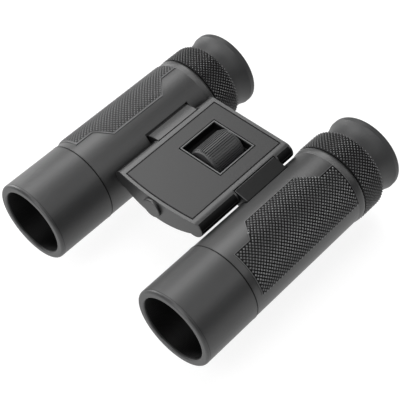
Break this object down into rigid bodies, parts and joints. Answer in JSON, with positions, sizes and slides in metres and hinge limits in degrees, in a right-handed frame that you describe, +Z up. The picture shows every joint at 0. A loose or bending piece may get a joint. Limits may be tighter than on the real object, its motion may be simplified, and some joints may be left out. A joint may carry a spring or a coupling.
{
  "type": "binoculars",
  "caption": "Pocket binoculars with straight roof-prism barrels, rubber grip panels, a central bridge with focus wheel, and a double hinge for folding.",
  "frame": {"origin": "on the supporting surface, midway between the barrels and midway between their front and rear ends", "axes": "+Y along the barrels towards the user's eyes (objectives face -Y), +X towards the barrel with the dioptre ring (the user's right), +Z up out of the bridge's top plate"},
  "size_m": [0.1078, 0.1102, 0.0343],
  "materials": {
    "housing_paint": "satin black paint",
    "cover_paint": "satin dark grey paint",
    "plate_paint": "satin dark grey paint",
    "frame_paint": "satin dark grey paint",
    "plug_plastic": "moulded, matt",
    "screw_steel": "machined",
    "bush_brass": "turned",
    "pin_steel": "ground",
    "wheel_rubber": "ribbed, matt",
    "hub_plastic": "moulded",
    "casting_black": "matt black anodised",
    "tube_coat": "soft-touch matt black",
    "armour_rubber": "smooth matt rubber",
    "panel_rubber": "fine diamond-point texture",
    "cell_black": "black anodised",
    "coated_glass": "purple anti-reflection coating",
    "lens_glass": "polished",
    "prism_glass": "polished",
    "eyecup_rubber": "soft matt rubber",
    "ring_rubber": "fine diamond knurl"
  },
  "bodies": {
    "bridge": {"bridge_housing": "housing_paint", "bridge_cover": "cover_paint", "top_plate": "plate_paint", "window_frame": "frame_paint", "front_plug": "plug_plastic", "bridge_screws": "screw_steel", "front_bush": "bush_brass", "rear_bush": "bush_brass", "hinge_pins": "pin_steel"},
    "focus_wheel": {"focus_wheel": "wheel_rubber", "focus_wheel_hub": "hub_plastic", "focus_screw": "pin_steel"},
    "focus_carriage": {"focus_carriage": "bush_brass"},
    "right_barrel": {"right_barrel": "casting_black", "right_objective_tube": "tube_coat", "right_armour": "armour_rubber", "right_grip_panel": "panel_rubber", "right_objective_cell": "cell_black", "right_objective_lens": "coated_glass", "right_objective_retainer": "cell_black", "right_prism_cage": "hub_plastic", "right_prism_front": "prism_glass", "right_prism_rear": "prism_glass", "right_field_stop": "cell_black"},
    "right_focus_group": {"right_focus_rod": "pin_steel", "right_focus_cell": "cell_black", "right_focus_lens": "lens_glass"},
    "left_barrel": {"left_barrel": "casting_black", "left_objective_tube": "tube_coat", "left_armour": "armour_rubber", "left_grip_panel": "panel_rubber", "left_objective_cell": "cell_black", "left_objective_lens": "coated_glass", "left_objective_retainer": "cell_black", "left_prism_cage": "hub_plastic", "left_prism_front": "prism_glass", "left_prism_rear": "prism_glass", "left_field_stop": "cell_black", "left_ocular_tube": "cell_black", "left_field_lens": "lens_glass", "left_eye_lens": "coated_glass", "left_eye_retainer": "cell_black", "left_eyecup": "eyecup_rubber", "left_collar_ring": "ring_rubber"},
    "left_focus_group": {"left_focus_rod": "pin_steel", "left_focus_cell": "cell_black", "left_focus_lens": "lens_glass"},
    "right_eyepiece": {"right_ocular_tube": "cell_black", "right_field_lens": "lens_glass", "right_eye_lens": "coated_glass", "right_eye_retainer": "cell_black", "right_eyecup": "eyecup_rubber"},
    "dioptre_ring": {"right_dioptre_ring": "ring_rubber"}
  },
  "joints": [
    {"name": "right_barrel_hinge", "type": "hinge", "parent": "bridge", "child": "right_barrel", "pos_m": [0.0184, 0, 0.02775], "axis": [0, 1, 0], "range_deg": [0, 56]},
    {"name": "left_barrel_hinge", "type": "hinge", "parent": "bridge", "child": "left_barrel", "pos_m": [-0.0184, 0, 0.02775], "axis": [0, -1, 0], "range_deg": [0, 56]},
    {"name": "focus_wheel_turn", "type": "hinge", "parent": "bridge", "child": "focus_wheel", "pos_m": [0, 0, 0.0266], "axis": [0, 1, 0], "range_deg": [-181, 181]},
    {"name": "focus_carriage_slide", "type": "slide", "parent": "bridge", "child": "focus_carriage", "axis": [0, 1, 0], "range_m": [-0.0015, 0.0015]},
    {"name": "right_focus_slide", "type": "slide", "parent": "right_barrel", "child": "right_focus_group", "axis": [0, 1, 0], "range_m": [-0.00155, 0.00155]},
    {"name": "left_focus_slide", "type": "slide", "parent": "left_barrel", "child": "left_focus_group", "axis": [0, 1, 0], "range_m": [-0.00155, 0.00155]},
    {"name": "dioptre_turn", "type": "hinge", "parent": "right_barrel", "child": "dioptre_ring", "pos_m": [0.0368, 0, 0.0171], "axis": [0, 1, 0], "range_deg": [-35.3, 35.3]},
    {"name": "right_eyepiece_slide", "type": "slide", "parent": "right_barrel", "child": "right_eyepiece", "axis": [0, 1, 0], "range_m": [-0.001, 0.001]}
  ],
  "couplings": [
    {"joint": "focus_wheel_turn", "follows": "focus_carriage_slide", "rad_per_m": 2094.4},
    {"joint": "right_focus_slide", "follows": "focus_carriage_slide", "ratio": 1},
    {"joint": "left_focus_slide", "follows": "focus_carriage_slide", "ratio": 1},
    {"joint": "dioptre_turn", "follows": "right_eyepiece_slide", "rad_per_m": 610.87}
  ]
}
